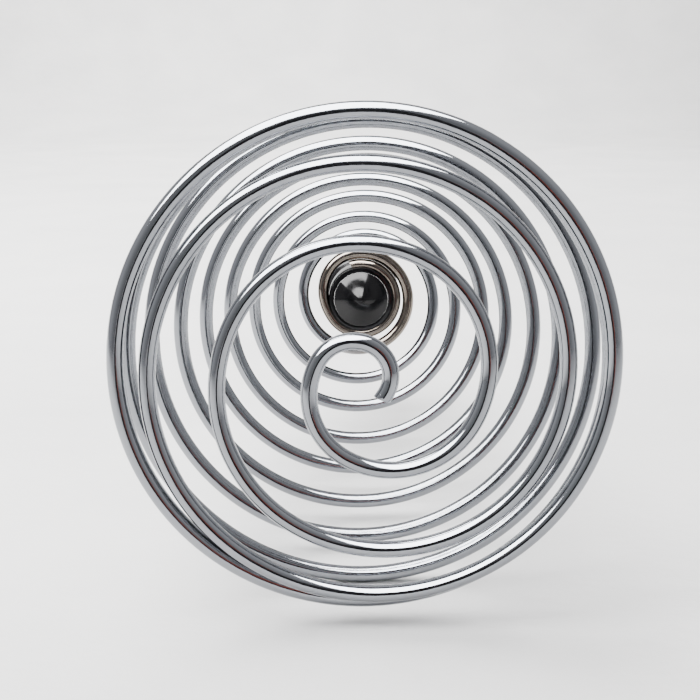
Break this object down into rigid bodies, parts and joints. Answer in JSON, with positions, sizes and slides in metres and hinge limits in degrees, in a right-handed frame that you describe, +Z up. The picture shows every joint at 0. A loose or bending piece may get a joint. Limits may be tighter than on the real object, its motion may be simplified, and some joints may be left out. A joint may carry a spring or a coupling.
{
  "type": "coil candle stand",
  "caption": "Candle stand bent from polished round wire: a flat spiral foot, a coil that narrows like a bell, and a neck whose eye grips a black cup for a taper candle.",
  "frame": {"origin": "on the coil's axis, in the plane that the flat foot spiral rests on when the stand stands up", "axes": "+Y along the coil's axis from the foot to the candle cup, +Z up with the stand lying on its side, +X to the right as seen from the foot"},
  "size_m": [0.12, 0.174, 0.1201],
  "materials": {
    "wire": "polished",
    "cup": "gloss black enamel",
    "floor": "gloss black enamel"
  },
  "bodies": {
    "stand": {"foot_inner": "wire", "foot_middle": "wire", "foot_outer": "wire", "rim_turn": "wire", "coil_turn_1": "wire", "coil_turn_2": "wire", "coil_turn_3": "wire", "coil_turn_4": "wire", "coil_turn_5": "wire", "coil_turn_6": "wire", "coil_turn_7": "wire"},
    "socket": {"neck_eye": "wire", "candle_cup": "cup", "cup_floor": "floor"}
  },
  "joints": [
    {"name": "coil_press", "type": "slide", "parent": "stand", "child": "socket", "axis": [0, 1, 0], "range_m": [-0.025, 0.005], "stiffness_N_per_m": 375, "deforming": ["coil_turn_1", "coil_turn_2", "coil_turn_3", "coil_turn_4", "coil_turn_5", "coil_turn_6", "coil_turn_7"]}
  ]
}
